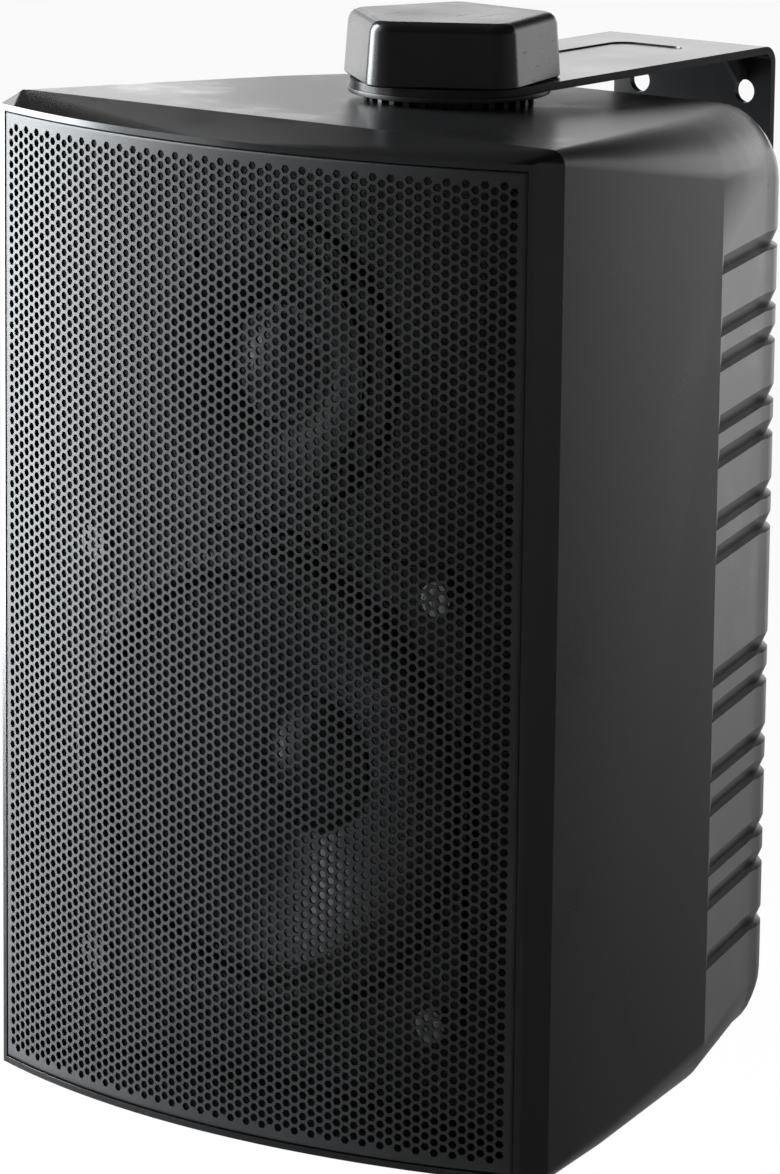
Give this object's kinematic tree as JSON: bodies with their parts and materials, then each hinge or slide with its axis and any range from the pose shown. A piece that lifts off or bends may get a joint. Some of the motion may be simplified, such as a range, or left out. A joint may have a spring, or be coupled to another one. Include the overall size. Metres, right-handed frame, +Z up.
{
  "type": "two-way wall loudspeaker",
  "caption": "Wedge-shaped two-way loudspeaker cabinet with a bowed perforated grille, clamped by hand knobs in a folded steel wall bracket.",
  "frame": {"origin": "on the wall, in the middle of the bracket's back plate", "axes": "+Z up, +Y into the wall, so the grille looks towards -Y"},
  "size_m": [0.1668, 0.2005, 0.289],
  "materials": {
    "black_plastic": "satin black moulded ABS with a fine texture",
    "knob_plastic": "smooth satin black moulding",
    "black_steel": "semi-matt black powder coat",
    "basket_steel": "black painted pressed steel",
    "zinc_steel": "zinc plated steel",
    "ferrite": "dark grey sintered ferrite",
    "rubber": "black rubber",
    "cone": "coated dark paper cone",
    "dust_cap": "glossy dark moulded cap",
    "copper": "enamelled copper wire",
    "spider": "impregnated yellow cloth",
    "dome": "coated dark cloth dome",
    "red_plastic": "red moulding",
    "brass": "turned brass",
    "contact": "plated spring strip",
    "board": "green circuit board",
    "blue_sleeve": "blue film sleeve",
    "resistor_body": "white cement body"
  },
  "bodies": {
    "wall_bracket": {"bracket": "black_steel"},
    "cone": {"woofer_cone": "cone", "woofer_dust_cap": "dust_cap", "woofer_voice_coil": "copper"},
    "red_lever": {"red_lever": "red_plastic"},
    "black_lever": {"black_lever": "knob_plastic"},
    "top_washer": {"top_washer": "zinc_steel"},
    "top_knob": {"top_knob": "knob_plastic", "top_screw": "zinc_steel"},
    "bottom_washer": {"bottom_washer": "zinc_steel"},
    "bottom_knob": {"bottom_knob": "knob_plastic", "bottom_screw": "zinc_steel"},
    "cabinet": {"rear_shell": "black_plastic", "front_frame": "black_plastic", "grille": "black_steel", "frame_screws": "black_steel", "woofer_basket": "basket_steel", "woofer_top_plate": "zinc_steel", "woofer_magnet": "ferrite", "woofer_pole_plate": "zinc_steel", "woofer_surround": "rubber", "woofer_spider": "spider", "woofer_screws": "zinc_steel", "tweeter_faceplate": "black_plastic", "tweeter_dome": "dome", "tweeter_magnet": "ferrite", "tweeter_screws": "black_steel", "terminal_cup": "black_plastic", "terminal_screws": "zinc_steel", "terminal_contacts": "contact", "crossover_board": "board", "crossover_screws": "zinc_steel", "capacitor": "blue_sleeve", "inductor": "copper", "resistor": "resistor_body", "top_insert": "brass", "bottom_insert": "brass", "top_pad": "rubber", "bottom_pad": "rubber"}
  },
  "joints": [
    {"name": "swivel", "type": "hinge", "parent": "wall_bracket", "child": "cabinet", "pos_m": [0, -0.1095, 0], "axis": [0, 0, 1], "range_deg": [-90, 90]},
    {"name": "cone_stroke", "type": "slide", "parent": "cabinet", "child": "cone", "axis": [0, -1, 0], "range_m": [-0.003, 0.003], "stiffness_N_per_m": 1200, "deforming": ["woofer_surround", "woofer_spider"]},
    {"name": "red_press", "type": "hinge", "parent": "cabinet", "child": "red_lever", "pos_m": [-0.012, -0.0392, -0.021], "axis": [-1, 0, 0], "range_deg": [0, 15], "stiffness_Nm_per_rad": 0.4, "springref_deg": -14.32},
    {"name": "black_press", "type": "hinge", "parent": "cabinet", "child": "black_lever", "pos_m": [0.012, -0.0392, -0.021], "axis": [-1, 0, 0], "range_deg": [0, 15], "stiffness_Nm_per_rad": 0.4, "springref_deg": -14.32},
    {"name": "top_lift", "type": "slide", "parent": "cabinet", "child": "top_washer", "axis": [0, 0, 1], "range_m": [0, 0.0026]},
    {"name": "top_turn", "type": "hinge", "parent": "top_washer", "child": "top_knob", "pos_m": [0, -0.1095, 0.138], "axis": [0, 0, 1], "range_deg": [0, 720]},
    {"name": "bottom_lift", "type": "slide", "parent": "cabinet", "child": "bottom_washer", "axis": [0, 0, -1], "range_m": [0, 0.0026]},
    {"name": "bottom_turn", "type": "hinge", "parent": "bottom_washer", "child": "bottom_knob", "pos_m": [0, -0.1095, -0.138], "axis": [0, 0, -1], "range_deg": [0, 720]}
  ],
  "couplings": [
    {"joint": "top_lift", "follows": "top_turn", "m_per_rad": 0.00019894},
    {"joint": "bottom_lift", "follows": "bottom_turn", "m_per_rad": 0.00019894}
  ]
}
